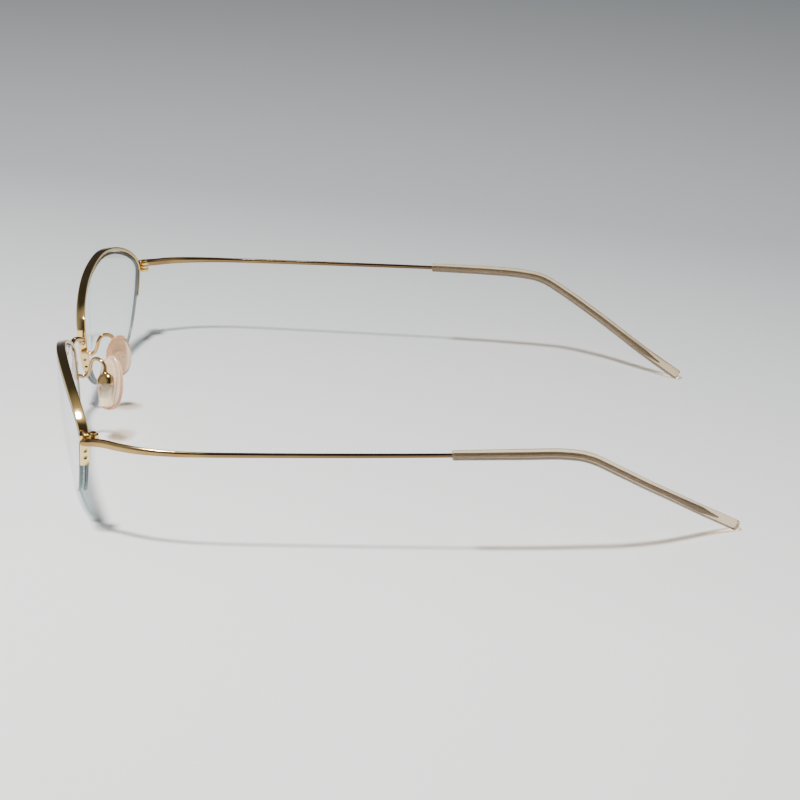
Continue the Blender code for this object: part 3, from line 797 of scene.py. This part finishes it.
def makeEndPiece():
    root = edgeStub(endPiece["angle"], rimOuter - endPiece["sink"], endPiece["rootReach"], endPiece["forward"])
    route = [*root, *(Vector(p) for p in endPiece["run"])]
    section = roundedRing(endPiece["halfWide"], endPiece["halfHigh"], endPiece["corner"], 5)

    def ringAt(share, index):
        grow = 1 + endPiece["flare"] * max(0.0, 1 - share / endPiece["flareRun"]) ** 2
        return [(a * grow, b * grow) for a, b in section]

    obj = sweep("endPiece", splinePoints(route, 60), ringAt, endRound=0.12, roundStart=False)
    dressBoth(obj, "end_piece", "front", [gold])


temple = {
    "slimness": 0.72, "tipStart": 10.1, "coreShare": 0.8, "pointRun": 5.0,
    "run": (  # x, y, z and half the wire's height
        (62.05, -59.1, 18.1, 0.5), (62.1, -58.3, 18.2, 0.74), (62.3, -56.7, 18.35, 0.8), (63.0, -54.6, 18.4, 0.8),
        (64.4, -52.0, 18.4, 0.78), (65.9, -47.8, 18.35, 0.7), (66.8, -42.4, 18.35, 0.6), (67.0, -36.9, 18.4, 0.52),
        (66.6, -25.4, 18.6, 0.48), (65.9, -11.4, 18.85, 0.46), (65.0, 3.6, 19.15, 0.44), (64.2, 13.6, 19.35, 0.42),
        (63.1, 23.6, 19.5, 0.4), (61.9, 31.1, 19.4, 0.38), (61.0, 36.2, 18.5, 0.38), (59.3, 41.8, 15.6, 0.38),
        (56.9, 47.8, 12.1, 0.38), (53.9, 53.5, 8.7, 0.4), (50.9, 59.0, 5.35, 0.5), (49.0, 62.9, 3.15, 0.46)),
    "tipEnd": ((47.9, 65.3, 1.8), (47.15, 67.1, 0.8)), "tipRadii": (0.95, 1.05, 1.12), "tipSquare": 0.85,
}


def halfAt(y):  # half the wire's height at this place along it
    run = temple["run"]
    for a, b in zip(run, run[1:]):
        if y <= b[1]:
            return a[3] + (b[3] - a[3]) * min(max((y - a[1]) / (b[1] - a[1]), 0.0), 1.0)
    return run[-1][3]


def makeTemple():
    line = splinePoints([p[:3] for p in temple["run"]], 420)

    def ringAt(share, index):
        y = line[index].y
        half = halfAt(y)
        if y > temple["tipStart"]:  # a thinner core, with a point at its end
            half *= temple["coreShare"] * min(0.35 + (line[-1].y - y) / temple["pointRun"], 1.0)
        return ovalRing(half * temple["slimness"], half, 20, 0.85)

    wire = sweep("wire", line, ringAt, endRound=0.2)
    dressBoth(wire, "temple", "temple_{}", [templeGold])

    path = [p for p in line if temple["tipStart"] < p.y < temple["run"][-1][1]][::6]
    path = splinePoints([*path, *(Vector(p) for p in temple["tipEnd"])], 260)
    mouth, middle, wide = temple["tipRadii"]

    def tipRing(share, index):
        radius = mouth + (middle - mouth) * min(share / 0.2, 1.0) + (wide - middle) * max(share - 0.7, 0.0) / 0.3
        return ovalRing(radius, radius, 28, temple["tipSquare"])

    tip = sweep("tip", path, tipRing, endRound=0.32)
    standFlat(tip)
    dressBoth(tip, "temple_tip", "temple_{}", [tipClear])


makeHinge()
makeEndPiece()
makeTemple()
print("hinges and temples ready")


stage = {  # metres from here on
    # farFloorShade is the painted shade colour the floor fades to far from the key light
    "floor": (0.68, 0.69, 0.69), "farFloorShade": (0.33, 0.345, 0.36), "floorHalf": 6.0, "floorDrop": 0.00002,
    "keyPlace": (0.13, -0.15, 0.55), "keySize": 0.07, "keyPower": 9.0, "keyColour": (1.0, 0.985, 0.96),
    "dark": (0.05, 0.05, 0.055), "side": (0.62, 0.65, 0.68), "top": (0.40, 0.39, 0.37), "worldStrength": 1.0,
    "cameraPlace": (0.50473, -0.01446, 0.1782), "cameraTurn": (71.3545, -2.6496, 89.0360),
    "cameraLens": 113.4, "cameraSensor": 36.0,
}


def makeFloor():
    sheet = Sheet("paleFloor")
    grain = sheet.noise(0.6, 6.0, 0.6)
    cloud = sheet.noise(0.006, 2.0)
    place = sheet.place()
    # painted shade: the floor darkens away from the camera side (-x) and towards +y, standing in for the key light's
    # falloff; a faint cloud breaks it up
    lightFalloff = (0.67 + 3.4 * place.part(0) - 0.9 * place.part(1) + 0.03 * cloud).clamped()
    material = sheet.finish(sheet.surface({
        "Base Color": sheet.mixed(lightFalloff, stage["farFloorShade"], stage["floor"]), "Roughness": 0.6 + 0.1 * grain,
        "Specular IOR Level": 0.2, "Normal": sheet.bump(grain, 0.05, 0.02)}))
    mesh = bpy.data.meshes.new("floor")
    size = stage["floorHalf"]
    mesh.from_pydata([(-size, -size, 0), (size, -size, 0), (size, size, 0), (-size, size, 0)], [], [(0, 1, 2, 3)])
    mesh.materials.append(material)
    floor = link("floor", mesh)
    floor.location.z = -stage["floorDrop"]


def makeKeyLight():
    lamp = bpy.data.lights.new("keyLight", "AREA")
    lamp.shape, lamp.size = "DISK", stage["keySize"]
    lamp.energy, lamp.color = stage["keyPower"], stage["keyColour"]
    light = link("keyLight", lamp)
    light.location = stage["keyPlace"]
    light.rotation_euler = (-light.location).to_track_quat("-Z", "Y").to_euler()


def makeWorld():  # a dark room with bright walls in front and behind, and a dim ceiling
    sheet = Sheet("studio", "worlds")
    towards = sheet.node("ShaderNodeTexCoord", out=0)
    side = ((abs(towards.part(1)) - 0.35) * 3.0).clamped()
    ceiling = ((towards.part(2) - 0.86) * 9.0).clamped()
    colour = sheet.mixed(side, sheet.mixed(ceiling, stage["dark"], stage["top"]), stage["side"])
    glow = sheet.node("ShaderNodeBackground", {}, [colour, stage["worldStrength"]])
    sheet.node("ShaderNodeOutputWorld", {}, [glow])
    bpy.context.scene.world = sheet.owner


def makeCamera():
    eye = bpy.data.cameras.new("camera")
    eye.lens, eye.sensor_width, eye.clip_start = stage["cameraLens"], stage["cameraSensor"], 0.01
    camera = link("camera", eye)
    camera.location = stage["cameraPlace"]
    camera.rotation_euler = [math.radians(turn) for turn in stage["cameraTurn"]]
    bpy.context.scene.camera = camera


makeFloor()
makeKeyLight()
makeWorld()
makeCamera()
print("stage ready")
